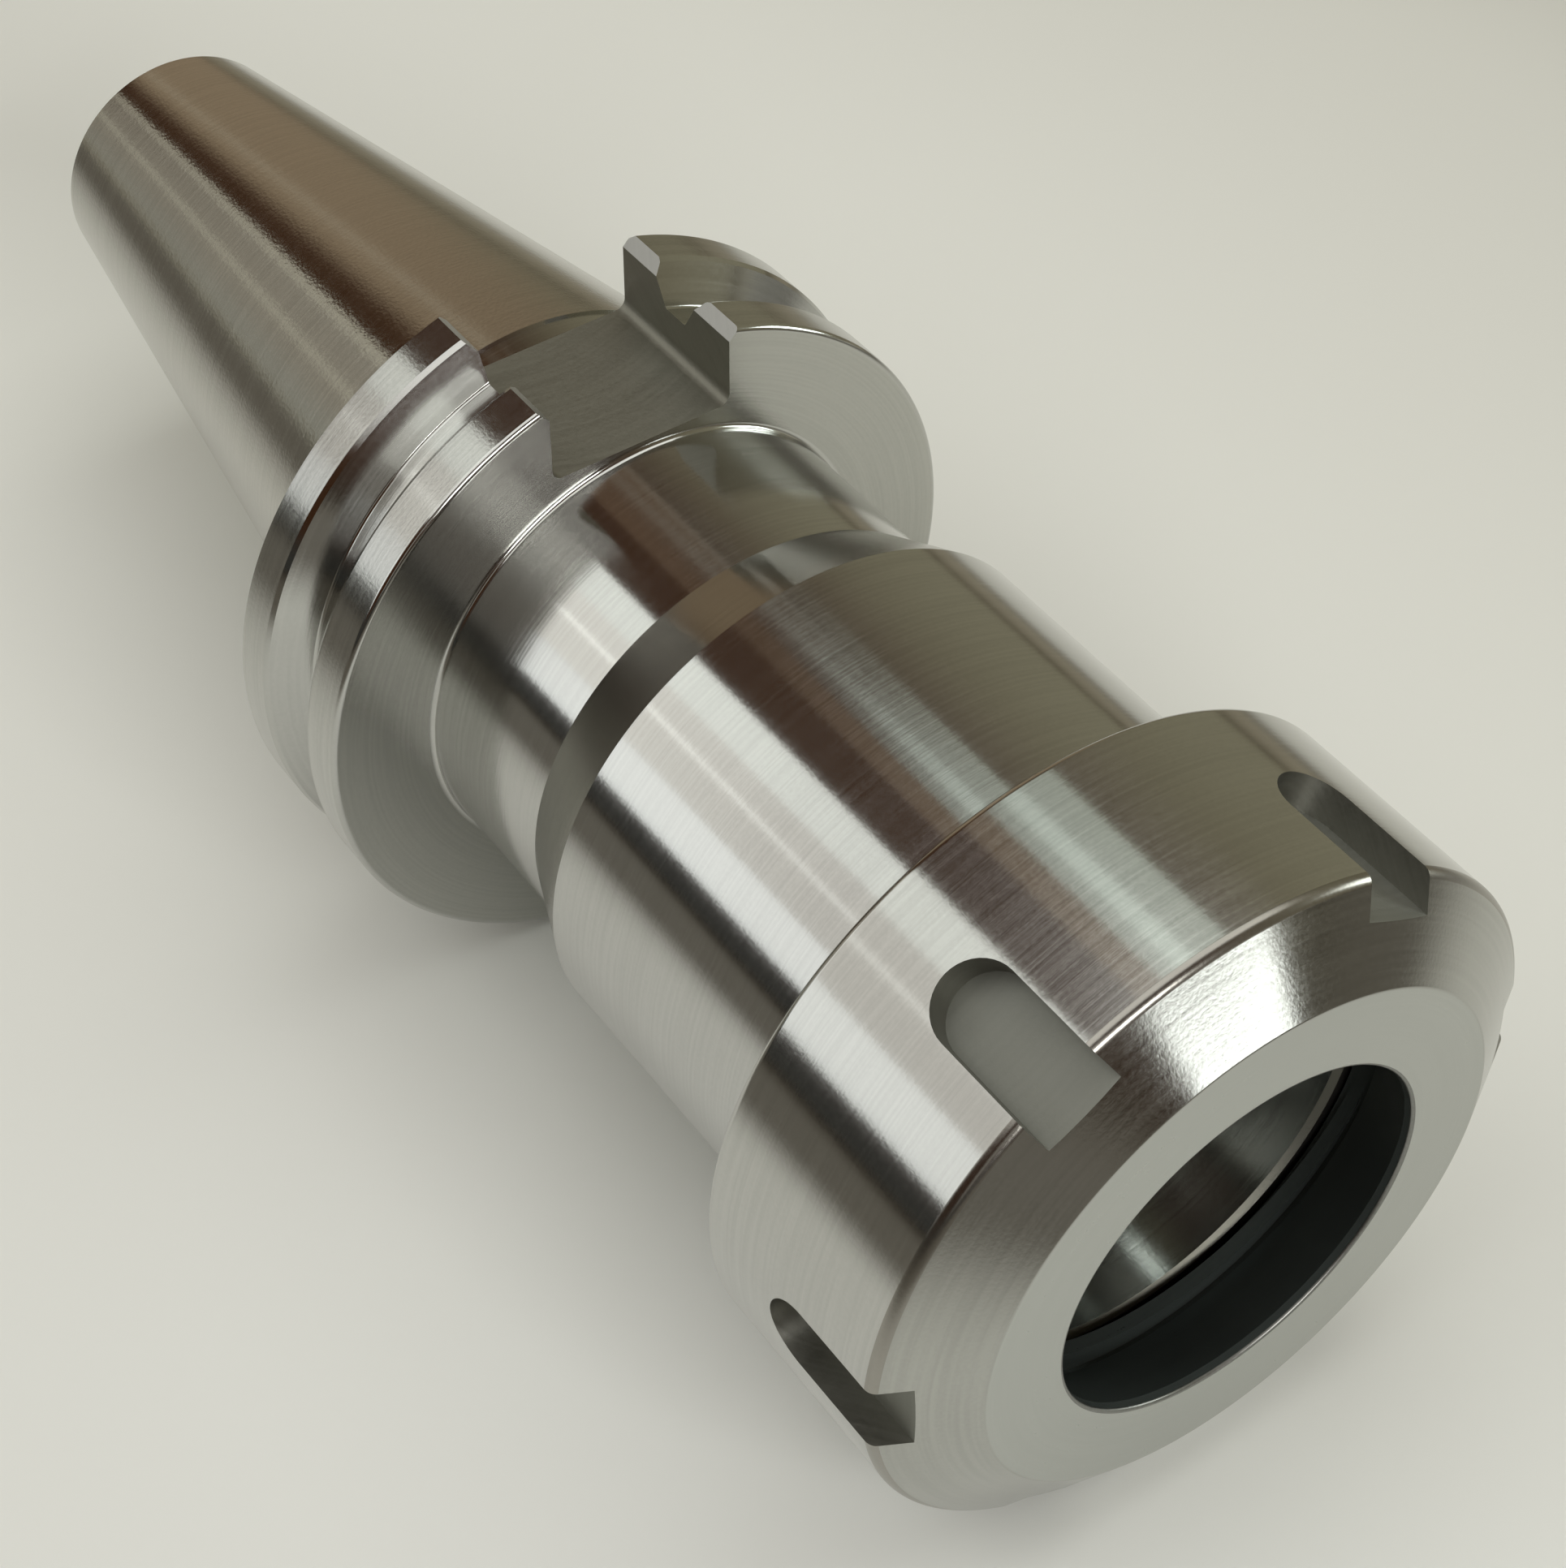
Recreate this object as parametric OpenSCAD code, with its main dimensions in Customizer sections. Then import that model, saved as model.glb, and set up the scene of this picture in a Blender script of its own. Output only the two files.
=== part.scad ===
// Collet chuck holder: a steep-taper tool holder with a collet clamping nut.
// +X runs along the spindle axis from the taper's small end towards the nut,
// with x = 0 at the taper's gauge line. +Z is up, and the holder lies on its
// side, so that one drive slot faces up and the other faces down.

/* [Taper shank] */
// Diameter of the taper at its gauge line
gauge_d = 44.45; // [40:0.05:60]
// Length of the taper behind the gauge line
taper_l = 68.4; // [52:0.1:85]
// Diameter of the pilot bore in the small end
pilot_d = 17; // [16:0.1:20]
// Depth of the pilot bore
pilot_l = 8.2; // [5:0.1:12]
// Major diameter of the drawbar thread
drawbar_d = 16; // [14.5:0.5:17]
// Length of the drawbar thread
drawbar_l = 24; // [18:1:32]
// Diameter of the tap drill, which runs on past the thread
tap_drill_d = 14; // [12:0.5:14.5]
// Length of the tap drill's hole past the thread
tap_drill_l = 10; // [4:1:14]
// Diameter of the coolant hole between the drawbar thread and the collet seat
coolant_d = 10; // [6:0.5:11]

/* [Flange] */
// Outer diameter of the flange
flange_d = 63.55; // [52:0.05:80]
// Distance from the gauge line to the back of the flange
flange_back = 3.2; // [2:0.1:5]
// Thickness of the flange
flange_l = 15.9; // [13:0.1:22]
// Step down from the taper's large end to the plain collar at the flange
collar_step = 0.25; // [0.1:0.05:1]
// Distance from the gauge line to the middle of the gripper groove
groove_x = 11.1; // [10.5:0.1:12.5]
// Width of the gripper groove at the outer diameter, between its sharp corners
groove_w = 7.07; // [6:0.01:9]
// Depth of the gripper groove
groove_depth = 3.65; // [3:0.05:4.4]
// Chamfer along the edges of the gripper groove
groove_edge = 0.3; // [0.1:0.05:0.6]
// Radius in the corners of the gripper groove's floor
groove_root = 0.4; // [0.2:0.05:1]
// Width of each drive slot
slot_w = 17.6; // [14:0.1:22]
// Height of the upper drive slot's floor above the neck or the collar
slot_step = 0.8; // [0.2:0.1:2]
// Extra height of the lower drive slot's floor, the shallower of the two
slot_lift = 2.2; // [0:0.1:3]
// Radius in the corners of the drive slots
slot_corner = 1; // [0.5:0.1:2]
// Chamfer along the outer edges of the drive slots
slot_edge = 1; // [0.4:0.1:1.5]
// Chamfer on the flange's rear rim, and radius on its front rim
flange_edge = 0.5; // [0.2:0.1:1]

/* [Neck and body] */
// Diameter of the neck in front of the flange
neck_d = 44; // [36:0.1:46]
// Length of the neck
neck_l = 16; // [10:0.1:24]
// Length of the cone between the neck and the body
shoulder_l = 7.4; // [4:0.1:12]
// Distance from the gauge line to the front face of the nose
nose_x = 88; // [73:0.5:110]
// Wall between the collet seat's mouth and the body's outside
nose_wall = 5; // [4.2:0.1:8]
// Radius at the roots of the neck and the collar
neck_root = 0.5; // [0.2:0.1:1.5]

/* [Collet seat] */
// Diameter of the collet seat at the nose
seat_d = 40; // [33:0.1:48]
// Half angle of the collet seat, in degrees
seat_half_angle = 8; // [6:0.5:10]
// Depth of the tapered seat
seat_l = 40; // [30:1:48]
// Chamfer at the seat's mouth
seat_edge = 0.5; // [0.2:0.1:1]
// Step from the seat's small end down to the bore behind it
screw_bore_step = 1.1; // [0.2:0.1:3]
// Length of the bore behind the seat, which takes a back-up screw
screw_bore_l = 22; // [12:1:26]

/* [Clamping nut] */
// Wall of the nut outside the body's diameter
nut_wall = 6.5; // [5.5:0.1:10]
// Length of the nut
nut_l = 24.5; // [20:0.1:30]
// Radial width of the bevel round the nut's front
bevel_w = 7.3; // [5:0.1:9]
// Radial width of the lip by which the nut's mouth is smaller than the seat
mouth_lip = 3.1; // [2:0.1:5]
// Length of the plain mouth
mouth_l = 0.9; // [0.5:0.1:2]
// Length of the groove in front of the pull-out ridge
relief_l = 0.6; // [0.4:0.1:1.5]
// Thickness of the pull-out ridge
ridge_l = 1.2; // [0.8:0.1:2]
// Height of the pull-out ridge at its highest
ridge_h = 2.1; // [1:0.1:2.6]
// Angle from straight up to the highest part of the ridge, in degrees
ridge_turn = 149; // [0:1:359]
// Number of spanner slots
spanner_slots = 6; // [4:1:8]
// Width of each spanner slot
spanner_w = 7; // [5:0.1:9]
// Depth of each spanner slot
spanner_depth = 3; // [2:0.1:3.6]
// Distance from the front face back to the round end of each spanner slot
spanner_l = 16.2; // [12:0.1:18]
// Angle from straight up to the first spanner slot, in degrees
nut_turn = 32.4; // [0:0.1:60]
// Radius on the nut's outer front edge
nut_round = 1.1; // [0.4:0.1:2]
// Radius on the nut's outer back edge
nut_back_round = 0.7; // [0.3:0.1:2]

/* [Fits] */
// Pitch of the thread between the nut and the nose
pitch = 1.5; // [1:0.25:2]
// Radial clearance between the nut's thread and the nose's thread
thread_clearance = 0.06; // [0.03:0.01:0.1]
// Radial clearance between the nut's plain bores and the body
body_clearance = 0.15; // [0.1:0.05:0.5]
// Gap between the nose's front face and the nut's inner shoulder
shoulder_gap = 0.35; // [0.2:0.05:1]
// Length of the chamber between that shoulder and the pull-out ridge
chamber_l = 0.6; // [0.3:0.1:3]

/* [Hidden] */
ground_steel = [0.62, 0.61, 0.58];
satin_steel = [0.70, 0.70, 0.67];
fine = 128;
overrun = 1;

// Steep taper: 7 units of diameter for 24 of length
taper_slope = 7 / 24 / 2;
small_end_r = gauge_d / 2 - taper_l * taper_slope;
small_end_edge = 0.8;
pilot_edge = 0.5;
// Drill points and countersinks are cones of 120 degrees
drill_cone = tan(30);

collar_r = gauge_d / 2 - collar_step;
flange_r = flange_d / 2;
flange_front = flange_back + flange_l;
// The gripper groove's flanks lean 30 degrees from a plane across the axis
groove_lean = 30;
groove_floor_r = flange_r - groove_depth;
groove_floor_half = groove_w / 2 - groove_depth * tan(groove_lean);
slot_floor = max(neck_d / 2, collar_r) + slot_step;
// Wall kept above a drive slot's floor where the rim is hardly higher
slot_wall_least = 0.4;

body_r = seat_d / 2 + nose_wall;
neck_end = flange_front + neck_l;
body_start = neck_end + shoulder_l;
nose_edge = 1;

// Both threads are drawn as plain cylinders, near the pitch line
thread_r = body_r - 0.325 * pitch;
undercut_r = body_r - 0.65 * pitch;
undercut_l = 2;
undercut_start_l = 1.9;

seat_end = nose_x - seat_l;
seat_end_r = seat_d / 2 - seat_l * tan(seat_half_angle);
screw_bore_r = seat_end_r - screw_bore_step;
screw_bore_end = seat_end - screw_bore_l;
drawbar_start = -taper_l + pilot_l;
drawbar_end = drawbar_start + drawbar_l;

// Inside the nut, from its mouth back: cone, groove, ridge, chamber, thread
mouth_r = seat_d / 2 - mouth_lip;
cone_r = seat_d / 2 + 0.6;
chamber_r = cone_r + 0.5;
cone_angle = 30;
cone_l = (cone_r - mouth_r) / tan(cone_angle);
shoulder_x = nose_x + shoulder_gap;
ridge_x = shoulder_x + chamber_l;
nut_front = ridge_x + ridge_l + relief_l + cone_l + mouth_l;
nut_back = nut_front - nut_l;
nut_r = body_r + nut_wall;
face_r = nut_r - bevel_w;
bevel_angle = 30;
bevel_x = nut_front - bevel_w * tan(bevel_angle);
counterbore_l = 2.4;
thread_relief_l = 1.4;
ridge_bore_r = cone_r;
ridge_min_r = chamber_r - ridge_h;
spanner_floor = nut_r - spanner_depth;
face_round = 0.4;
mouth_round = 0.3;

// Points of an arc about the point c with radius r, from angle a to angle b
function arc(c, r, a, b, steps = 6) =
    [for (i = [0:steps]) let (t = a + (b - a) * i / steps) [c.x + r * cos(t), c.y + r * sin(t)]];

// Turns an outline of [distance along X, radius] points about the X axis
module turned(outline) {
    rotate([0, 90, 0])
        rotate_extrude($fn = fine)
            polygon([for (p = outline) [p.y, p.x]]);
}

// Half the outline of the gripper groove, from the rim down to its floor
function groove_side() =
    let (lean = groove_lean, t = groove_root * tan(lean), half = groove_w / 2, c = groove_edge)
    concat(
        [[groove_x - half - c, flange_r],
         [groove_x - half + c * sin(lean), flange_r - c * cos(lean)]],
        arc([groove_x - groove_floor_half + t, groove_floor_r + groove_root],
            groove_root, 180 + lean, 270, 4));

function mirrored_about(x, points) =
    [for (i = [len(points) - 1:-1:0]) [2 * x - points[i].x, points[i].y]];

// Shank, flange, neck, body and nose as one turned blank
module blank() {
    e = flange_edge;
    q = neck_root;
    undercut_start = nut_back + undercut_start_l;
    turned(concat(
        [[-taper_l, 0],
         [-taper_l, small_end_r - small_end_edge],
         [-taper_l + small_end_edge, small_end_r + small_end_edge * taper_slope],
         [0, gauge_d / 2],
         [collar_step, collar_r]],
        arc([flange_back - q, collar_r + q], q, 270, 360),
        [[flange_back, flange_r - e],
         [flange_back + e, flange_r]],
        groove_side(),
        mirrored_about(groove_x, groove_side()),
        arc([flange_front - e, flange_r - e], e, 90, 0),
        arc([flange_front + q, neck_d / 2 + q], q, 180, 270),
        [[neck_end, neck_d / 2],
         [body_start, body_r],
         [undercut_start, body_r],
         [undercut_start, undercut_r],
         [undercut_start + undercut_l, undercut_r],
         [undercut_start + undercut_l, thread_r],
         [nose_x - nose_edge, thread_r],
         [nose_x, thread_r - nose_edge],
         [nose_x, 0]]));
}

// Tapered collet seat and the bore behind it
module collet_seat() {
    mouth = seat_d / 2 + seat_edge;
    turned([
        [screw_bore_end - screw_bore_r * drill_cone, 0],
        [screw_bore_end, screw_bore_r],
        [seat_end, screw_bore_r],
        [seat_end, seat_end_r],
        [nose_x - seat_edge, seat_d / 2 - seat_edge * tan(seat_half_angle)],
        [nose_x, mouth],
        [nose_x + overrun, mouth],
        [nose_x + overrun, 0]]);
}

// Pilot bore, drawbar thread, tap drill and coolant hole, one behind the other
module drawbar_hole() {
    tap_end = drawbar_end + tap_drill_l;
    turned([
        [-taper_l - overrun, 0],
        [-taper_l - overrun, pilot_d / 2 + pilot_edge],
        [-taper_l, pilot_d / 2 + pilot_edge],
        [-taper_l + pilot_edge, pilot_d / 2],
        [drawbar_start, pilot_d / 2],
        [drawbar_start, drawbar_d / 2],
        [drawbar_end, drawbar_d / 2],
        [drawbar_end + (drawbar_d - tap_drill_d) / 2, tap_drill_d / 2],
        [tap_end, tap_drill_d / 2],
        [tap_end + (tap_drill_d - coolant_d) / 2 * drill_cone, coolant_d / 2],
        [screw_bore_end, coolant_d / 2],
        [screw_bore_end, 0]]);
}

// One drive slot, milled straight through the flange along X
module drive_slot(floor_r) {
    w = slot_w / 2;
    // The chamfer leaves the slot's wall below the rim by its own width
    rim_h = sqrt(pow(flange_r, 2) - pow(w + slot_edge, 2));
    edge_h = max(rim_h - slot_edge, floor_r + slot_wall_least);
    r = min(slot_corner, (edge_h - floor_r) / 2);
    top = flange_r + overrun;
    flare = w + top - edge_h;
    translate([flange_back - overrun, 0, 0])
        rotate([90, 0, 90])
            linear_extrude(flange_l + 2 * overrun)
                polygon(concat(
                    arc([w - r, floor_r + r], r, -90, 0),
                    [[w, edge_h], [flare, top], [-flare, top], [-w, edge_h]],
                    arc([r - w, floor_r + r], r, 180, 270)));
}

module holder_body() {
    color(ground_steel)
        difference() {
            blank();
            collet_seat();
            drawbar_hole();
            drive_slot(slot_floor);
            rotate([180, 0, 0])
                drive_slot(slot_floor + slot_lift);
        }
}

// Outside, mouth and threaded bore of the nut as one turned blank
module nut_blank() {
    thread_bore_r = thread_r + thread_clearance;
    clear_r = body_r + body_clearance;
    // Length from the sharp front corner back to where its radius starts
    t = nut_round * tan((90 - bevel_angle) / 2);
    thread_start = nut_back + counterbore_l;
    thread_end = shoulder_x - thread_relief_l;
    turned(concat(
        [[nut_back, clear_r + 0.3]],
        arc([nut_back + nut_back_round, nut_r - nut_back_round], nut_back_round, 180, 90, 4),
        arc([bevel_x - t, nut_r - nut_round], nut_round, 90, bevel_angle),
        arc([nut_front - face_round, face_r - face_round * tan(bevel_angle / 2)],
            face_round, bevel_angle, 0, 3),
        arc([nut_front - mouth_round, mouth_r + mouth_round], mouth_round, 0, -90, 3),
        [[nut_front - mouth_l, mouth_r],
         [nut_front - mouth_l - cone_l, cone_r],
         [nut_front - mouth_l - cone_l, chamber_r],
         [shoulder_x, chamber_r],
         [shoulder_x, clear_r],
         [thread_end, clear_r],
         [thread_end, thread_bore_r],
         [thread_start, thread_bore_r],
         [thread_start, clear_r],
         [nut_back + 0.3, clear_r]]));
}

// Ridge that pulls the collet out: a ring bored off centre, so that it stands
// proud of the chamber on one side only
module pull_out_ridge() {
    rotate([ridge_turn, 0, 0])
        translate([ridge_x, 0, 0])
            difference() {
                turned([
                    [0, ridge_min_r - overrun], [ridge_l, ridge_min_r - overrun],
                    [ridge_l, chamber_r + overrun], [0, chamber_r + overrun]]);
                translate([-overrun, 0, ridge_min_r - ridge_bore_r])
                    rotate([0, 90, 0])
                        cylinder(h = ridge_l + 2 * overrun, r = ridge_bore_r, $fn = fine);
            }
}

// One spanner slot: a flat-floored pocket with a round end, open at the bevel
module spanner_slot() {
    translate([nut_front - spanner_l + spanner_w / 2, 0, spanner_floor])
        linear_extrude(spanner_depth + overrun) {
            circle(d = spanner_w, $fn = 64);
            translate([0, -spanner_w / 2])
                square([spanner_l, spanner_w]);
        }
}

module clamping_nut() {
    color(satin_steel) {
        difference() {
            nut_blank();
            for (i = [0:spanner_slots - 1])
                rotate([nut_turn + i * 360 / spanner_slots, 0, 0])
                    spanner_slot();
        }
        pull_out_ridge();
    }
}

holder_body();
clamping_nut();
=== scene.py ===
import math

import bpy
import numpy as np
from mathutils import Matrix, Vector


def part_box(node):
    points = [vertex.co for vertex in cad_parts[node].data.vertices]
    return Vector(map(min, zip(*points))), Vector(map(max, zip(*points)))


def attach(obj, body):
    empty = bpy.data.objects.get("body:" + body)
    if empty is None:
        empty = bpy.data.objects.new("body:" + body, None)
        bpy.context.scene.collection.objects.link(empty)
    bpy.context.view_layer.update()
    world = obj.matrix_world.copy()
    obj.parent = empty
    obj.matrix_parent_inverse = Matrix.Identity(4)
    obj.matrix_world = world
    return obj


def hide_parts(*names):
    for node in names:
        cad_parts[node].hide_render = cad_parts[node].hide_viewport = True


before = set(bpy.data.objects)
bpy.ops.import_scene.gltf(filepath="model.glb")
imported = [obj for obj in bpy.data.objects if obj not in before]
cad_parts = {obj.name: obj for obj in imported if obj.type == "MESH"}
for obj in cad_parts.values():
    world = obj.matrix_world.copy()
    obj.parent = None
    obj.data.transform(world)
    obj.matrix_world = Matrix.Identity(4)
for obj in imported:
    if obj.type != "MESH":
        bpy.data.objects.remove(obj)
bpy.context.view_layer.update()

# Holder body: one bar of tool steel, turned, hardened and ground. It carries the steep taper, the flange
# with its gripper groove and milled drive slots, the neck and the body. Inside are the collet seat, the
# coolant hole and the drawbar's hole. Lengths are in millimetres along the axis from the gauge line.
MM = 0.001
low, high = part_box("holder_body")
small_end = low.x / MM
nose_x = high.x / MM
flange_r = high.y / MM
gauge_r = 22.225
taper_slope = 7 / 48
small_r = gauge_r + small_end * taper_slope
collar_r = 21.975
collar_start = 0.25
flange_back = 3.2
flange_front = 19.1
flange_lean = math.radians(30)
groove_x = 11.1
groove_half = 3.535
groove_floor_r = flange_r - 3.65
neck_r = 22.0
neck_end = 35.1
body_start = 42.5
body_r = 25.0
undercut_r = 24.025
undercut_x = nose_x - 12.541
undercut_length = 2.0
thread_x = undercut_x + undercut_length
thread_r = 24.5125
root_round = 0.5
slot_half = 8.8
slot_floors = {0.0: 22.8, math.pi: 25.0}
slot_corner = 1.0
slot_edge = 1.0
nose_edge = 1.0
seat_r = 20.0
seat_length = 40.0
seat_end = nose_x - seat_length
seat_slope = math.tan(math.radians(8))
seat_edge = 0.5
seat_step = 1.1
screw_bore_r = seat_r - seat_length * seat_slope - seat_step
screw_bore_end = 26.0
coolant_r = 5.0
drill_slope = math.tan(math.radians(30))
tap_r = 7.0
tap_end = -26.2
drawbar_r = 8.0
drawbar_end = -36.2
drawbar_edge = 1.0
pilot_r = 8.5
pilot_end = -60.2
pilot_edge = 0.5
TURN = 2 * math.pi
COLUMNS = 288
# Closer than these, two radii in millimetres are the same, as worked out or as rounded. Points closer than
# the last, in metres, become one.
TINY = 1e-9
ROUNDED = 1e-6
WELD = 1e-8


class Turning:
    """A closed skin made of grids of points that know the true direction of the surface there.

    Its turning axis is the object's own Z, and the object is laid over so that this lies along +X. An
    angle of 0 is straight up, and it grows towards -Y.
    """

    def __init__(self, name):
        self.name = name
        self.finishes = []
        self.points = []
        self.normals = []
        self.faces = []
        self.face_finish = []
        self.count = 0

    def grid(self, points, normals, finish):
        rows, columns = points.shape[:2]
        index = self.count + np.arange(rows * columns).reshape(rows, columns)
        corners = np.stack([index[:-1, :-1], index[1:, :-1], index[1:, 1:], index[:-1, 1:]], -1)
        if finish not in self.finishes:
            self.finishes.append(finish)
        self.points.append(points.reshape(-1, 3))
        self.normals.append(np.broadcast_to(normals, points.shape).reshape(-1, 3))
        self.faces.append(corners.reshape(-1, 4))
        self.face_finish.append(np.full(corners.size // 4, self.finishes.index(finish)))
        self.count += rows * columns

    def make(self, materials, body):
        points = np.concatenate(self.points) * MM
        normals = np.concatenate(self.normals)
        faces = np.concatenate(self.faces)
        finish = np.concatenate(self.face_finish)
        # Points that fall together become one, so that the skin is closed
        places = np.round(points / WELD)
        _, first, joined = np.unique(places, axis=0, return_index=True, return_inverse=True)
        joined = joined.reshape(-1)
        corner = points[faces]
        facing = np.cross(corner[:, 2] - corner[:, 0], corner[:, 3] - corner[:, 1])
        wrong = (facing * normals[faces].sum(1)).sum(1) < 0
        faces[wrong] = faces[wrong][:, ::-1]
        polygons = []
        corner_normals = []
        kept = []
        for face, which in zip(faces, finish):
            ends = {joined[k]: k for k in face}
            if len(ends) > 2:
                polygons.append(list(ends))
                corner_normals.extend(normals[k] for k in ends.values())
                kept.append(which)
        mesh = bpy.data.meshes.new(self.name)
        mesh.from_pydata(points[first].tolist(), [], polygons)
        mesh.polygons.foreach_set("use_smooth", [True] * len(polygons))
        mesh.polygons.foreach_set("material_index", kept)
        for name in self.finishes:
            mesh.materials.append(materials[name])
        mesh.normals_split_custom_set([tuple(n) for n in corner_normals])
        piece = bpy.data.objects.new(self.name, mesh)
        bpy.context.scene.collection.objects.link(piece)
        piece.rotation_euler = (0, math.pi / 2, 0)
        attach(piece, body)
        return piece


def around(x, radius, angle):
    """Points round the axis, in the object's own axes."""
    x, radius, angle = np.broadcast_arrays(x, radius, angle)
    return np.stack([-radius * np.cos(angle), -radius * np.sin(angle), x], -1)


def in_slot(x, side, up, angle):
    """Points given by their place in a slot: along the axis, to its side, and up from the axis."""
    x, side, up = np.broadcast_arrays(x, side, up)
    cos, sin = math.cos(angle), math.sin(angle)
    return np.stack([side * sin - up * cos, -side * cos - up * sin, x], -1)


def line(start, end, steps=1):
    """A straight stretch of outline, in rows of x, radius, and the surface's direction along and out."""
    t = np.linspace(0, 1, steps + 1)[:, None]
    step = np.subtract(end, start)
    facing = np.array([-step[1], step[0]]) / np.hypot(*step)
    return np.hstack([np.array(start) + t * step, np.tile(facing, (steps + 1, 1))])


def arc(centre, radius, start, end, steps=8):
    """An arc of outline, hollow where its angle in degrees grows."""
    t = np.radians(np.linspace(start, end, steps + 1))
    out = np.stack([np.cos(t), np.sin(t)], -1)
    return np.hstack([np.array(centre) + radius * out, out * (1 if end < start else -1)])


def swept(rows, start=0.0, end=TURN, columns=COLUMNS):
    """Points and directions of the surface that rows of outline make round the axis."""
    start = np.broadcast_to(start, len(rows))[:, None]
    end = np.broadcast_to(end, len(rows))[:, None]
    angle = start + np.linspace(0, 1, columns + 1) * (end - start)
    x, radius, along, out = rows.T[:, :, None]
    return around(x, radius, angle), around(along, out, angle)


class DriveSlot:
    """Half the outline of a drive slot, seen along the axis, in parts: floor, corner, wall, edge."""

    def __init__(self, floor):
        edge_up = math.sqrt(flange_r**2 - (slot_half + slot_edge) ** 2) - slot_edge
        turn = np.radians(np.linspace(-90, 0, 7))
        out = np.stack([np.cos(turn), np.sin(turn)], -1)
        corner = (slot_half - slot_corner, floor + slot_corner) + slot_corner * out
        wall = np.array([corner[-1], (slot_half, edge_up)])
        edge = np.array([wall[-1], wall[-1] + 2 * slot_edge])
        slant = -math.sqrt(0.5)
        self.floor = floor
        self.parts = [
            (np.array([(0, floor), corner[0]]), np.array([(0, 1)] * 2)),
            (corner, -out),
            (wall, np.array([(-1, 0)] * 2)),
            (edge, np.array([(slant, -slant)] * 2)),
        ]
        self.edge_r = float(np.hypot(*wall[-1]))
        # Distances from the axis at which the outline gets a point
        self.radii = {round(float(r), 9) for points, _ in self.parts for r in np.hypot(*points.T)}
        self.radii |= {floor + above for above in (0.02, 0.1, 0.3)}
        self.radii = {r for r in self.radii if r < flange_r} | {flange_r}

    def at(self, radius, parts):
        """The outline's place and direction at a distance from the axis."""
        for points, facing in parts:
            for p, q, m, n in zip(points, points[1:], facing, facing[1:]):
                if np.hypot(*q) >= radius - TINY:
                    step = q - p
                    a, b, c = step @ step, p @ step, p @ p - radius**2
                    t = min(max((math.sqrt(max(b * b - a * c, 0)) - b) / a, 0), 1)
                    return p + t * step, (m + t * (n - m)) / np.hypot(*(m + t * (n - m)))
        return points[-1], facing[-1]

    def half_angle(self, radius):
        side, up = self.at(radius, self.parts)[0]
        return math.atan2(side, up) if radius > self.floor else 0.0


def end_face(x, low, high, along, stops):
    """Rows of a flat face across the axis, outwards if it faces back, with stops where slots bend."""
    radii = sorted({low, high} | {r for r in stops if low < r < high})
    rows = np.array([(x, r, along, 0.0) for r in radii])
    return rows if along < 0 else rows[::-1]


drive_slots = {angle: DriveSlot(floor) for angle, floor in slot_floors.items()}
stops = set().union(*(slot.radii for slot in drive_slots.values()))
edge_r = drive_slots[0.0].edge_r
rim_edge = 0.5
groove_cut = 0.3
groove_root = 0.4
cut_r = flange_r - groove_cut * math.cos(flange_lean)
root_r = groove_floor_r + groove_root * (1 - math.sin(flange_lean))
floor_half = groove_half - (flange_r - groove_floor_r) * math.tan(flange_lean)
root_x = floor_half - groove_root * math.tan(flange_lean)


def flank(radius, side):
    """A point on one flank of the gripper groove."""
    return groove_x + side * (groove_half - (flange_r - radius) * math.tan(flange_lean)), radius


rim_end = groove_x - groove_half - groove_cut
rim_start = groove_x + groove_half + groove_cut
flange = [
    (end_face(flange_back, collar_r + root_round, flange_r - rim_edge, -1.0, stops), "faced"),
    (line((flange_back, flange_r - rim_edge), (flange_back + rim_edge, flange_r), 4), "turned"),
    (line((flange_back + rim_edge, flange_r), (rim_end, flange_r), 6), "ground rim"),
    (line((rim_end, flange_r), flank(cut_r, -1), 2), "turned"),
    (line(flank(cut_r, -1), flank(edge_r, -1), 4), "turned"),
    (line(flank(edge_r, -1), flank(root_r, -1), 8), "turned"),
    (arc((groove_x - root_x, groove_floor_r + groove_root), groove_root, 210, 270, 5), "turned"),
    (line((groove_x - root_x, groove_floor_r), (groove_x + root_x, groove_floor_r), 3), "turned"),
    (arc((groove_x + root_x, groove_floor_r + groove_root), groove_root, 270, 330, 5), "turned"),
    (line(flank(root_r, 1), flank(edge_r, 1), 8), "turned"),
    (line(flank(edge_r, 1), flank(cut_r, 1), 4), "turned"),
    (line(flank(cut_r, 1), (rim_start, flange_r), 2), "turned"),
    (line((rim_start, flange_r), (flange_front - rim_edge, flange_r), 6), "ground rim"),
    (arc((flange_front - rim_edge, flange_r - rim_edge), rim_edge, 90, 0, 8), "turned"),
    (end_face(flange_front, neck_r + root_round, flange_r - rim_edge, 1.0, stops), "faced"),
]

holder = Turning("holder_body_turned")
for rows, finish in flange:
    upper, lower = ([slot.half_angle(r) for r in rows[:, 1]] for slot in drive_slots.values())
    upper, lower = np.array(upper), math.pi - np.array(lower)
    holder.grid(*swept(rows, upper, lower, COLUMNS // 2), finish)
    holder.grid(*swept(rows, TURN - upper, TURN - lower, COLUMNS // 2), finish)
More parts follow.
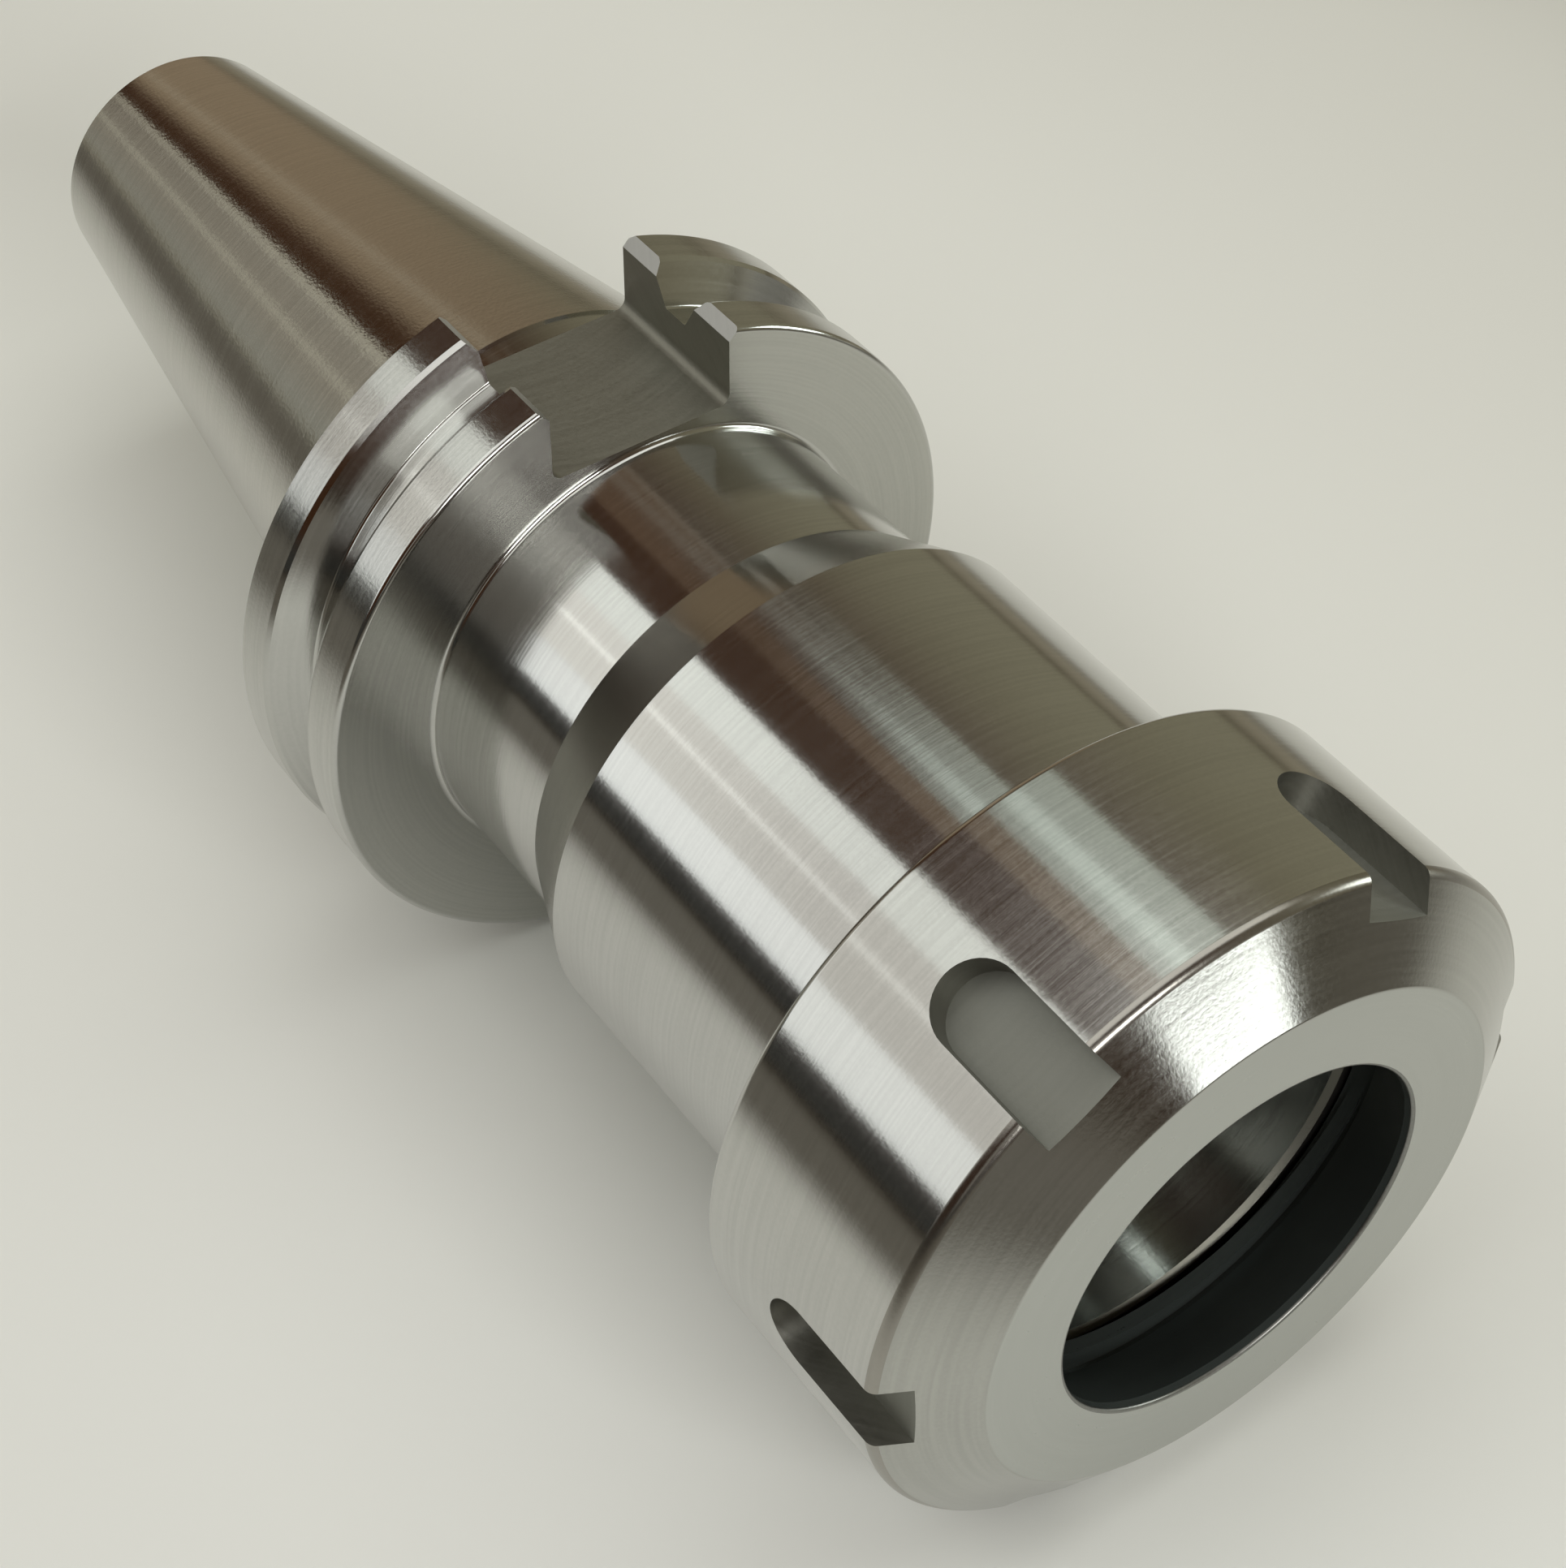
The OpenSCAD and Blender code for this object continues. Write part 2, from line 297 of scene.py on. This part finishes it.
# A slot's floor and walls run along the axis, and end where they meet the flange's outline
outline = np.vstack([rows for rows, _ in flange[1:-1]])
for angle, slot in drive_slots.items():
    for part in slot.parts:
        low_r, high_r = np.hypot(*part[0][0]), np.hypot(*part[0][-1])
        radii = [r for r in sorted(stops) if low_r - ROUNDED <= r <= high_r + ROUNDED]
        facing = np.array([slot.at(r, [part])[1] for r in radii])
        places = np.array([
            [slot.at(r, [part])[0] if r <= top else slot.at(top, slot.parts)[0] for r in radii]
            for top in outline[:, 1]
        ])
        for side in (1, -1):
            points = in_slot(outline[:, :1], side * places[:, :, 0], places[:, :, 1], angle)
            normals = in_slot(0, side * facing[:, 0], facing[:, 1], angle)
            holder.grid(points, normals, "milled edge" if part is slot.parts[-1] else "milled")

end_edge = 0.8
taper_x = small_end + end_edge
taper_r = small_r + end_edge * taper_slope
seat_mouth = (nose_x - seat_edge, seat_r - seat_edge * seat_slope)
coolant_back = tap_end + (tap_r - coolant_r) * drill_slope
coolant_front = screw_bore_end - (screw_bore_r - coolant_r) * drill_slope
for rows, finish in [
    (line((small_end, pilot_r + pilot_edge), (small_end, small_r - end_edge), 6), "faced"),
    (line((small_end, small_r - end_edge), (taper_x, taper_r), 3), "turned"),
    (line((taper_x, taper_r), (0, gauge_r), 48), "ground"),
    (line((0, gauge_r), (collar_start, collar_r)), "turned"),
    (line((collar_start, collar_r), (flange_back - root_round, collar_r), 4), "turned"),
    (arc((flange_back - root_round, collar_r + root_round), root_round, 270, 360), "turned"),
    (arc((flange_front + root_round, neck_r + root_round), root_round, 180, 270), "turned"),
    (line((flange_front + root_round, neck_r), (neck_end, neck_r), 16), "bright"),
    (line((neck_end, neck_r), (body_start, body_r), 8), "cone"),
    (line((body_start, body_r), (undercut_x, body_r), 33), "bright"),
    (line((undercut_x, body_r), (undercut_x, undercut_r)), "turned"),
    (line((undercut_x, undercut_r), (thread_x, undercut_r)), "turned"),
    (line((thread_x, undercut_r), (thread_x, thread_r)), "turned"),
    (line((thread_x, thread_r), (nose_x - nose_edge, thread_r), 10), "turned"),
    (line((nose_x - nose_edge, thread_r), (nose_x, thread_r - nose_edge)), "turned"),
    # The nose's face and the seat's chamfer are bright steel, given the drilled and milled finishes as
    # painted shade
    (line((nose_x, thread_r - nose_edge), (nose_x, seat_r + seat_edge), 4), "drilled"),
    (line((nose_x, seat_r + seat_edge), seat_mouth, 2), "milled"),
    (line(seat_mouth, (seat_end, screw_bore_r + seat_step), 40), "seat"),
    (line((seat_end, screw_bore_r + seat_step), (seat_end, screw_bore_r)), "drilled"),
    (line((seat_end, screw_bore_r), (screw_bore_end, screw_bore_r), 20), "drilled"),
    (line((screw_bore_end, screw_bore_r), (coolant_front, coolant_r), 6), "drilled"),
    (line((coolant_front, coolant_r), (coolant_back, coolant_r), 20), "drilled"),
    (line((coolant_back, coolant_r), (tap_end, tap_r), 2), "drilled"),
    (line((tap_end, tap_r), (drawbar_end + drawbar_edge, tap_r), 6), "drilled"),
    (line((drawbar_end + drawbar_edge, tap_r), (drawbar_end, drawbar_r)), "drilled"),
    (line((drawbar_end, drawbar_r), (pilot_end, drawbar_r), 12), "drilled"),
    (line((pilot_end, drawbar_r), (pilot_end, pilot_r)), "drilled"),
    (line((pilot_end, pilot_r), (small_end + pilot_edge, pilot_r), 6), "turned"),
    (line((small_end + pilot_edge, pilot_r), (small_end, pilot_r + pilot_edge)), "turned"),
]:
    holder.grid(*swept(rows), finish)


class Nodes:
    """Adds nodes to one node tree, each with its settings first and then its inputs."""

    def __init__(self, tree):
        self.tree = tree
        tree.nodes.clear()

    def add(self, kind, settings=None, inputs=None, output=0):
        node = self.tree.nodes.new(kind)
        for name, value in (settings or {}).items():
            setattr(node, name, value)
        for name, value in (inputs or {}).items():
            if isinstance(value, Signal):
                self.tree.links.new(value.socket, node.inputs[name])
            else:
                node.inputs[name].default_value = value
        return Signal(self, node.outputs[output]) if node.outputs else None

    def blend(self, factor, first, second):
        return self.add("ShaderNodeMix", {"data_type": "RGBA"}, {0: factor, 6: first, 7: second}, 2)


class Signal:
    """What a node gives out. Arithmetic on it adds Math nodes."""

    def __init__(self, nodes, socket):
        self.nodes = nodes
        self.socket = socket

    def math(self, operation, *terms):
        return self.nodes.add("ShaderNodeMath", {"operation": operation}, dict(enumerate(terms)))

    def __add__(self, other):
        return self.math("ADD", self, other)

    def __sub__(self, other):
        return self.math("SUBTRACT", self, other)

    def __rsub__(self, other):
        return self.math("SUBTRACT", other, self)

    def __mul__(self, other):
        return self.math("MULTIPLY", self, other)

    __radd__ = __add__
    __rmul__ = __mul__

    def rise(self, start, end):
        """0 up to one value and 1 from another on, with a soft change between."""
        settings = {"interpolation_type": "SMOOTHSTEP", "clamp": True}
        ends = {"Value": self, "From Min": start, "From Max": end}
        return self.nodes.add("ShaderNodeMapRange", settings, ends)


def tool_marks(nodes, around_size, along_size, detail=3.0):
    """Noise drawn out round the axis like the marks of a lathe tool or a grinding wheel."""
    place = nodes.add("ShaderNodeTexCoord", output="Object")
    flat = nodes.add("ShaderNodeVectorMath", {"operation": "MULTIPLY"}, {0: place, 1: (1, 1, 0)})
    radius = nodes.add("ShaderNodeVectorMath", {"operation": "LENGTH"}, {0: flat}, "Value")
    x, y, z = (nodes.add("ShaderNodeSeparateXYZ", inputs={0: place}, output=axis) for axis in "XYZ")
    # A step along the axis and a step out both cross the marks, and on no cone of the piece do they cancel
    outward = 1.37
    across = (z + radius * outward) * (1 / along_size)
    stretched = nodes.add("ShaderNodeCombineXYZ", inputs={
        "X": x * (1 / around_size), "Y": y * (1 / around_size), "Z": across,
    })
    return nodes.add("ShaderNodeTexNoise", inputs={"Vector": stretched, "Scale": 1.0, "Detail": detail})


MICRON = 0.001 * MM


def steel(name, colour, rough, spread, relief, grain_relief, brushed=0.0, tone=0.1, mark=0.0003, bare=1.0):
    """Tool steel. Its marks change how dull it is, its tone and its surface.

    The finest marks are as wide as `mark`. The relief of the marks and of the grain is in microns.
    """
    material = bpy.data.materials.new(name)
    material.use_nodes = True
    nodes = Nodes(material.node_tree)
    fine = tool_marks(nodes, around_size=0.02, along_size=mark)
    broad = tool_marks(nodes, around_size=0.05, along_size=mark * 9, detail=2.0)
    place = nodes.add("ShaderNodeTexCoord", output="Object")
    grain = nodes.add("ShaderNodeTexNoise", inputs={"Vector": place, "Scale": 3000.0, "Detail": 2.0})
    noise_middle = 1.2
    dull = rough + (fine + broad * 0.4 + grain - noise_middle) * spread
    darker = tuple(part * (1 - tone) for part in colour)
    shade = nodes.blend((fine * 0.7 + grain * 0.3).rise(0.3, 0.7), (*darker, 1), (*colour, 1))
    height = fine * relief + grain * grain_relief
    bump = nodes.add("ShaderNodeBump", inputs={"Height": height, "Distance": MICRON, "Strength": 1.0})
    skin = nodes.add("ShaderNodeBsdfPrincipled", inputs={
        "Base Color": shade, "Metallic": bare, "Roughness": dull, "Normal": bump,
        "Anisotropic": brushed, "Anisotropic Rotation": 0.25,
    })
    nodes.add("ShaderNodeOutputMaterial", inputs={"Surface": skin})
    return material


finishes = {
    "ground": steel("ground_taper", (0.565, 0.555, 0.525), rough=0.16, spread=0.06,
                    relief=3, grain_relief=12, brushed=0.7, tone=0.14),
    "ground rim": steel("ground_rim", (0.54, 0.54, 0.52), rough=0.18, spread=0.06,
                        relief=5, grain_relief=6, brushed=0.7, tone=0.15),
    "bright": steel("bright_body", (0.555, 0.555, 0.54), rough=0.14, spread=0.045,
                    relief=4, grain_relief=2, brushed=0.7),
    "turned": steel("turned_steel", (0.54, 0.54, 0.52), rough=0.14, spread=0.05,
                    relief=5, grain_relief=2, brushed=0.5),
    "cone": steel("turned_cone", (0.34, 0.33, 0.3), rough=0.17, spread=0.05,
                  relief=5, grain_relief=2, brushed=0.6),
    "faced": steel("faced_flange", (0.52, 0.52, 0.49), rough=0.22, spread=0.05,
                   relief=4, grain_relief=1, brushed=0.3),
    "milled": steel("milled_slot", (0.28, 0.275, 0.235), rough=0.5, spread=0.12,
                    relief=6, grain_relief=18, mark=0.0005),
    "milled edge": steel("milled_slot_edge", (0.44, 0.44, 0.425), rough=0.42, spread=0.12,
                         relief=4, grain_relief=6, mark=0.0004),
    "drilled": steel("drilled_steel", (0.26, 0.25, 0.235), rough=0.42, spread=0.12,
                     relief=12, grain_relief=6, mark=0.0004),
    # Paler than real ground steel, to lift the glint deep in the seat: ground steel, partly painted
    # highlight
    "seat": steel("ground_seat", (0.69, 0.70, 0.68), rough=0.13, spread=0.05,
                  relief=4, grain_relief=4, brushed=0.4),
}
holder_piece = holder.make(finishes, "holder")
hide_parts("holder_body")

# Clamping nut: turned from a ring of the same steel, screwed onto the nose. Six slots milled in its rim
# take the hook or pin spanner. The ring inside its mouth stands off centre, and pulls the collet out.
low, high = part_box("clamping_nut")
nut_back = low.x / MM
nut_front = high.x / MM
nut_r = high.z / MM
bevel_lean = math.radians(30)
bevel_w = 7.3
bevel_round = 1.1
nut_back_round = 0.7
face_round = 0.4
mouth_round = 0.3
mouth_r = 16.9
mouth_x = nut_front - 0.9
chamber_r = 21.1
chamber_x = (88.35, 90.75)
relief_r = 25.15
relief_x = (73.859, 75.959, 86.95)
relief_edge = 0.3
nut_thread_r = 24.5725
ridge_x = (88.95, 90.15)
ridge_r = 20.6
ridge_off = 1.6
ridge_turn = math.radians(149)
spanner_floor = 28.5
spanner_half = 3.5
spanner_x = 85.359
spanner_turn = math.radians(32.4)
spanner_slots = 6

bevel_x = nut_front - bevel_w * math.tan(bevel_lean)
# A rounded edge takes its radius times the tangent of half its turn from both of the faces that it joins
edge_cut = bevel_round * math.tan(math.radians(30))
face_cut = face_round * math.tan(math.radians(15))
slant = np.array([math.sin(bevel_lean), -math.cos(bevel_lean)])
face_r = nut_r - bevel_w
bevel_end = np.array([nut_front, face_r]) - face_cut * slant


def on_bevel(radius):
    """A point on the nut's bevel."""
    return bevel_x + (nut_r - radius) * math.tan(bevel_lean), radius


def slot_half_width(x):
    """Half the width of a spanner slot, whose back end is round."""
    reach = np.clip(x - (spanner_x - spanner_half), 0, spanner_half)
    return np.sqrt(spanner_half**2 - (spanner_half - reach) ** 2)


slot_out_r = math.hypot(spanner_floor, spanner_half)
bevel_start_r = nut_r - bevel_round * (1 - math.cos(math.radians(60)))
turns = np.linspace(0, math.pi / 2, 11)
stations = [nut_back + nut_back_round, *(spanner_x - spanner_half * np.cos(turns))]
stations += list(np.linspace(spanner_x, bevel_x - edge_cut, 9)[1:])
side_rows = np.array([(x, nut_r, 0.0, 1.0) for x in stations])
outside = [
    (line((nut_back, relief_r + relief_edge), (nut_back, nut_r - nut_back_round), 4), "faced"),
    (arc((nut_back + nut_back_round, nut_r - nut_back_round), nut_back_round, 180, 90), "nut side"),
    (side_rows, "nut side"),
    (arc((bevel_x - edge_cut, nut_r - bevel_round), bevel_round, 90, 30, 10), "nut edge"),
    (line(on_bevel(bevel_start_r), on_bevel(slot_out_r), 8), "bevel"),
    (line(on_bevel(slot_out_r), on_bevel(spanner_floor), 6), "bevel"),
    (line(on_bevel(spanner_floor), tuple(bevel_end), 12), "bevel"),
    (arc((nut_front - face_round, face_r - face_cut), face_round, 30, 0, 4), "bevel"),
    (line((nut_front, face_r - face_cut), (nut_front, mouth_r + mouth_round), 12), "nut face"),
]
nut = Turning("clamping_nut_turned")
sector = TURN / spanner_slots
slot_rows = []
for rows, finish in outside:
    x, radius = rows[:, 0], rows[:, 1]
    half = np.zeros(len(rows))
    deep = radius > spanner_floor + TINY
    if finish not in ("faced", "nut face"):
        width = slot_half_width(x[deep])
        half[deep] = np.minimum(np.arcsin(width / radius[deep]), np.arccos(spanner_floor / radius[deep]))
        slot_rows.append(np.column_stack([x, radius, half]))
    for k in range(spanner_slots):
        start = spanner_turn + k * sector
        nut.grid(*swept(rows, start + half, start + sector - half, COLUMNS // spanner_slots), finish)
x, radius, half = np.vstack([rows[rows[:, 0] >= stations[1] - TINY] for rows in slot_rows]).T
width = radius * np.sin(half)
top = np.maximum(radius * np.cos(half), spanner_floor)
# The wall of the round end faces its centre
toward = np.clip((spanner_x - x) / spanner_half, 0, 1)
sideways = np.sqrt(1 - toward**2)
for k in range(spanner_slots):
    angle = spanner_turn + k * sector
    spread = np.linspace(-1, 1, 9)
    floor_points = in_slot(x[:, None], width[:, None] * spread, spanner_floor, angle)
    nut.grid(floor_points, in_slot(0, 0, 1, angle), "spanner slot")
    for side in (1, -1):
        heights = spanner_floor + np.linspace(0, 1, 3) * (top - spanner_floor)[:, None]
        wall = in_slot(x[:, None], side * width[:, None], heights, angle)
        nut.grid(wall, in_slot(toward, -side * sideways, 0, angle)[:, None], "spanner wall")

angle = np.linspace(0, 1, COLUMNS + 1) * TURN + spanner_turn
off = angle - ridge_turn
# Distance from the axis to the ring's off-centre bore, no further than the wall behind it
bore = -ridge_off * np.cos(off) + np.sqrt(ridge_r**2 - (ridge_off * np.sin(off)) ** 2)
bore = np.minimum(bore, chamber_r)
wall = np.full_like(bore, chamber_r)
for rings, along, out in [
    ([(ridge_x[1], wall), (ridge_x[1], bore)], 1.0, 0.0),
    ([(ridge_x[1], bore), (ridge_x[0], bore)], 0.0, -1.0),
    ([(ridge_x[0], bore), (ridge_x[0], wall)], -1.0, 0.0),
]:
    points = np.stack([around(x, r, angle) for x, r in rings])
    nut.grid(points, np.stack([around(along, out, angle)] * 2), "blackened")
for rows, finish in [
    (arc((nut_front - mouth_round, mouth_r + mouth_round), mouth_round, 0, -90, 5), "nut lip"),
    (line((nut_front - mouth_round, mouth_r), (mouth_x, mouth_r)), "blackened"),
    (line((mouth_x, mouth_r), (chamber_x[1], ridge_r), 8), "blackened"),
    (line((chamber_x[1], ridge_r), (chamber_x[1], chamber_r)), "blackened"),
    (line((chamber_x[1], chamber_r), (ridge_x[1], chamber_r)), "blackened"),
    (line((ridge_x[0], chamber_r), (chamber_x[0], chamber_r)), "blackened"),
    (line((chamber_x[0], chamber_r), (chamber_x[0], relief_r)), "blackened"),
    (line((chamber_x[0], relief_r), (relief_x[2], relief_r)), "blackened"),
    (line((relief_x[2], relief_r), (relief_x[2], nut_thread_r)), "blackened"),
    (line((relief_x[2], nut_thread_r), (relief_x[1], nut_thread_r), 11), "blackened"),
    (line((relief_x[1], nut_thread_r), (relief_x[1], relief_r)), "blackened"),
    (line((relief_x[1], relief_r), (relief_x[0], relief_r), 2), "blackened"),
    (line((relief_x[0], relief_r), (nut_back, relief_r + relief_edge)), "faced"),
]:
    nut.grid(*swept(rows, spanner_turn, spanner_turn + TURN), finish)

finishes |= {
    "nut side": steel("bright_nut", (0.55, 0.55, 0.53), rough=0.14, spread=0.045,
                      relief=4, grain_relief=2, brushed=0.7),
    # The rounded edge is the nut's bright steel painted darker: painted shade that dims its reflections
    "nut edge": steel("nut_edge", (0.36, 0.345, 0.315), rough=0.24, spread=0.06,
                      relief=4, grain_relief=4),
    "bevel": steel("turned_bevel", (0.455, 0.455, 0.43), rough=0.16, spread=0.09,
                   relief=4, grain_relief=5, brushed=0.2, tone=0.12),
    "nut face": steel("turned_face", (0.49, 0.50, 0.475), rough=0.26, spread=0.04,
                      relief=3, grain_relief=3, brushed=0.3, tone=0.05),
    "spanner slot": steel("milled_spanner_slot", (0.29, 0.295, 0.265), rough=0.6, spread=0.12,
                          relief=6, grain_relief=14, mark=0.0005),
    "spanner wall": steel("spanner_slot_wall", (0.29, 0.285, 0.255), rough=0.4, spread=0.12,
                          relief=6, grain_relief=10, mark=0.0005),
    "nut lip": steel("turned_lip", (0.27, 0.27, 0.255), rough=0.36, spread=0.1,
                     relief=6, grain_relief=6, tone=0.3),
    "blackened": steel("blackened_bore", (0.08, 0.093, 0.088), rough=0.3, spread=0.06,
                       relief=5, grain_relief=4, bare=0.4),
}
nut_piece = nut.make(finishes, "nut")
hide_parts("clamping_nut")

# Floor: a plain pale table top. The holder lies on it on the flange's rear edge, beside the lower drive
# slot, and on the nut's rear edge, so the table tips a little. A pool of light is painted on it: palest in
# an oval round the holder, with painted shade outside it, which the steel mirrors from a long way off.
flange_rest = (flange_back + rim_edge, -math.sqrt(flange_r**2 - (slot_half + slot_edge) ** 2))
nut_rest = (nut_back + nut_back_round, -nut_r)
tip = (nut_rest[1] - flange_rest[1]) / (nut_rest[0] - flange_rest[0])
reach = 4.0
floor_mesh = bpy.data.meshes.new("floor")
floor_mesh.from_pydata(
    [
        (x, y, nut_rest[1] * MM + tip * (x - nut_rest[0] * MM))
        for x, y in ((-reach, -reach), (reach, -reach), (reach, reach), (-reach, reach))
    ],
    [],
    [(0, 1, 2, 3)],
)
floor = bpy.data.objects.new("floor", floor_mesh)
bpy.context.scene.collection.objects.link(floor)
table = bpy.data.materials.new("table_with_painted_light")
table.use_nodes = True
nodes = Nodes(table.node_tree)
place = nodes.add("ShaderNodeTexCoord", output="Object")
x, y = (nodes.add("ShaderNodeSeparateXYZ", inputs={0: place}, output=axis) for axis in "XY")
# How far out a place lies, where 1 is on the oval of the painted pool of light
oval_x, oval_y = -0.01, 0.02
oval_length, oval_width = 0.15, 0.145
off = nodes.add("ShaderNodeCombineXYZ", inputs={
    "X": (x - oval_x) * (1 / oval_length), "Y": (y - oval_y) * (1 / oval_width),
})
off = nodes.add("ShaderNodeVectorMath", {"operation": "LENGTH"}, {0: off}, "Value")
# Painted light and shade: the table is painted whiter towards the front left and darker towards the back
# (+Y)
pale_with_painted_light = nodes.blend((x - y).rise(0.0, 0.13), (0.82, 0.825, 0.785, 1), (0.84, 0.85, 0.82, 1))
pale_with_painted_light = nodes.blend(y.rise(0.05, 0.2), pale_with_painted_light, (0.7, 0.7, 0.65, 1))
# Painted shade for the table outside the pool of light: dark, and a paler brown towards +Y and -X
painted_shade = nodes.blend((y - x).rise(0.2, 0.5), (0.16, 0.145, 0.12, 1), (0.42, 0.38, 0.29, 1))
# The painted pool of light: 1 inside the oval, fading to 0 beyond it and beyond a line on the -X, -Y side
painted_pool_of_light = (1 - off.rise(0.95, 1.8)) * (1 - (x * -0.6 - y * 0.8).rise(0.055, 0.2))
colour = nodes.blend(painted_pool_of_light, painted_shade, pale_with_painted_light)
skin = nodes.add("ShaderNodeBsdfPrincipled", inputs={
    "Base Color": colour, "Roughness": 0.7, "Specular IOR Level": 0.2,
})
nodes.add("ShaderNodeOutputMaterial", inputs={"Surface": skin})
floor_mesh.materials.append(table)

# Light: a dim warm room. Long lamps run along the holder's axis, so that each shows as a band along the
# steel: a tall window and walls on the -Y side, with cool and warm lamps overhead. Two windows on the +Y
# side shine on the nut's bevel and the collet seat. Two broad lamps light the nut's face and the table.
world = bpy.data.worlds.new("room")
bpy.context.scene.world = world
world.use_nodes = True
nodes = Nodes(world.node_tree)
toward = nodes.add("ShaderNodeTexCoord", output="Generated")
x, y, z = (nodes.add("ShaderNodeSeparateXYZ", inputs={0: toward}, output=axis) for axis in "XYZ")
room = nodes.blend(y.rise(0.1, 0.9), (0.056, 0.024, 0.01, 1), (0.27, 0.25, 0.17, 1))
warm_end = (x * -1).rise(0.76, 0.86) * y.rise(-0.06, 0.12)
room = nodes.blend(warm_end, room, (0.34, 0.26, 0.17, 1))
dark_side = (y * -1).rise(0.2, 0.6) * (1 - z.rise(0.05, 0.25))
room = nodes.blend(dark_side, room, (0.045, 0.045, 0.04, 1))
sky = nodes.add("ShaderNodeBackground", inputs={"Color": room, "Strength": 1.0})
nodes.add("ShaderNodeOutputWorld", inputs={"Surface": sky})


def lamp(name, centre, out, size, radiance, colour):
    """A rectangular lamp with its back towards `out` and its length along the holder's axis."""
    light = bpy.data.lights.new(name, "AREA")
    light.shape = "RECTANGLE"
    light.size, light.size_y = size
    light.energy = radiance * math.pi * size[0] * size[1]
    light.color = colour
    stand = bpy.data.objects.new(name, light)
    bpy.context.scene.collection.objects.link(stand)
    out = Vector(out).normalized()
    side = (Vector((1, 0, 0)) - out * out.x).normalized()
    turn = Matrix((side, out.cross(side), out)).transposed().to_4x4()
    stand.matrix_world = Matrix.Translation(centre) @ turn


def long_lamp(name, rolls, reach, radiance, colour):
    """A lamp along the axis, `away` from it, between two angles in degrees from straight up towards -Y.

    It reaches from one place in X to another, both given as multiples of that distance.
    """
    away = 0.9
    middle, half = math.radians(sum(rolls) / 2), math.radians(rolls[1] - rolls[0]) / 2
    out = (0, -math.sin(middle), math.cos(middle))
    size = ((reach[1] - reach[0]) * away, 2 * away * math.tan(half))
    centre = (sum(reach) / 2 * away, out[1] * away, out[2] * away)
    lamp(name, centre, out, size, radiance, colour)


for part, reach, top, middle, bottom in [
    ("nut", (-0.61, -0.25), 1.1, 0.78, 1.28),
    ("body", (-0.72, -0.61), 1.4, 1.1, 1.5),
    ("neck", (-0.88, -0.72), 1.33, 1.37, 1.33),
    ("flange", (-1.2, -0.88), 0.76, 0.34, 0.66),
]:
    for pane, rolls, radiance, colour in [
        ("top", (21.4, 36), top, (0.95, 1.0, 0.95)),
        ("middle", (36, 62), middle, (0.99, 1.0, 0.94)),
        ("gap", (46, 48), middle * 0.5, (0.97, 1.0, 0.97)),
        ("bottom", (62, 79.4), bottom, (0.96, 1.0, 0.98)),
    ]:
        long_lamp(f"window_{pane}_{part}", rolls, reach, radiance, colour)
behind = (-3.0, -1.2)
in_front = (0.66, 0.98)
for name, rolls, reach, radiance, colour in [
    ("far_wall", (21, 97), behind, 0.3, (0.99, 1.0, 0.84)),
    ("far_wall_top", (21, 29), behind, 0.2, (1.0, 1.0, 0.8)),
    ("far_wall_gap", (52.5, 57), behind, 0.25, (0.98, 1.0, 0.8)),
    ("far_wall_foot", (88, 98), behind, 0.12, (0.95, 1.0, 0.86)),
    ("far_lamp", (-24, -21), behind, 0.25, (0.95, 1.0, 0.86)),
    ("cool_lamp", (-26, -4), (-0.56, -0.25), 0.5, (0.85, 1.0, 0.9)),
    ("cool_lamp_bright", (-15, -9), (-0.56, -0.25), 0.35, (0.85, 1.0, 0.92)),
    ("cool_lamp_end", (-14, -9.5), (-1.0, -0.56), 0.045, (0.9, 1.0, 0.88)),
    ("cool_lamp_rim", (-20, -17.5), (-0.9, -0.56), 0.06, (0.9, 1.0, 0.9)),
    ("warm_lamp_neck", (-20, 2), (-0.88, -0.72), 0.1, (1.0, 0.72, 0.45)),
    ("warm_lamp_nut", (-4, 4), (-0.61, -0.25), 0.13, (1.0, 0.8, 0.52)),
    ("front_wall_top", (21.4, 36), in_front, 0.7, (0.98, 1.0, 0.95)),
    ("front_wall", (36, 66), in_front, 0.35, (0.95, 1.0, 0.93)),
    ("front_wall_bottom", (66, 79.4), in_front, 0.3, (0.96, 1.0, 0.94)),
]:
    long_lamp(name, rolls, reach, radiance, colour)
for name, centre, out, size, radiance, colour in [
    ("low_window", (1.4, 0.54, 0.01), (0.93, 0.36, 0), (0.5, 0.1), 5.2, (0.95, 1.0, 0.98)),
    ("side_window", (0.5, 1.36, 0.35), (0.33, 0.91, 0.23), (0.5, 0.45), 6.0, (0.92, 1.0, 0.98)),
    ("front_lamp", (1.13, -0.2, 0.64), (0.86, -0.15, 0.49), (0.3, 0.8), 10.0, (0.99, 1.0, 0.97)),
    ("table_lamp", (0.0, -0.15, 1.1), (0, 0, 1), (0.83, 2.2), 1.32, (0.985, 1.0, 0.965)),
]:
    lamp(name, centre, out, size, radiance, colour)

# Camera: the photograph's viewing angle, from above and in front of the nut and to one side. Its place and
# its lens were fitted to the outlines of the taper, the flange, the body and the nut, in millimetres.
camera = bpy.data.objects.new("camera", bpy.data.cameras.new("camera"))
bpy.context.scene.collection.objects.link(camera)
right = Vector((0.5811, 0.8138, 0.0075)).normalized()
forward = Vector((-0.5596, 0.4062, -0.7224)).normalized()
down = forward.cross(right).normalized()
axes = Matrix((right, -down, -forward)).transposed().to_4x4()
place = Vector((190.55, -109.7, 194.2)) * MM
camera.matrix_world = Matrix.Translation(place) @ axes
camera.data.lens = 73.18
camera.data.clip_start = 0.01
bpy.context.scene.camera = camera
bpy.context.scene.view_settings.view_transform = "Standard"
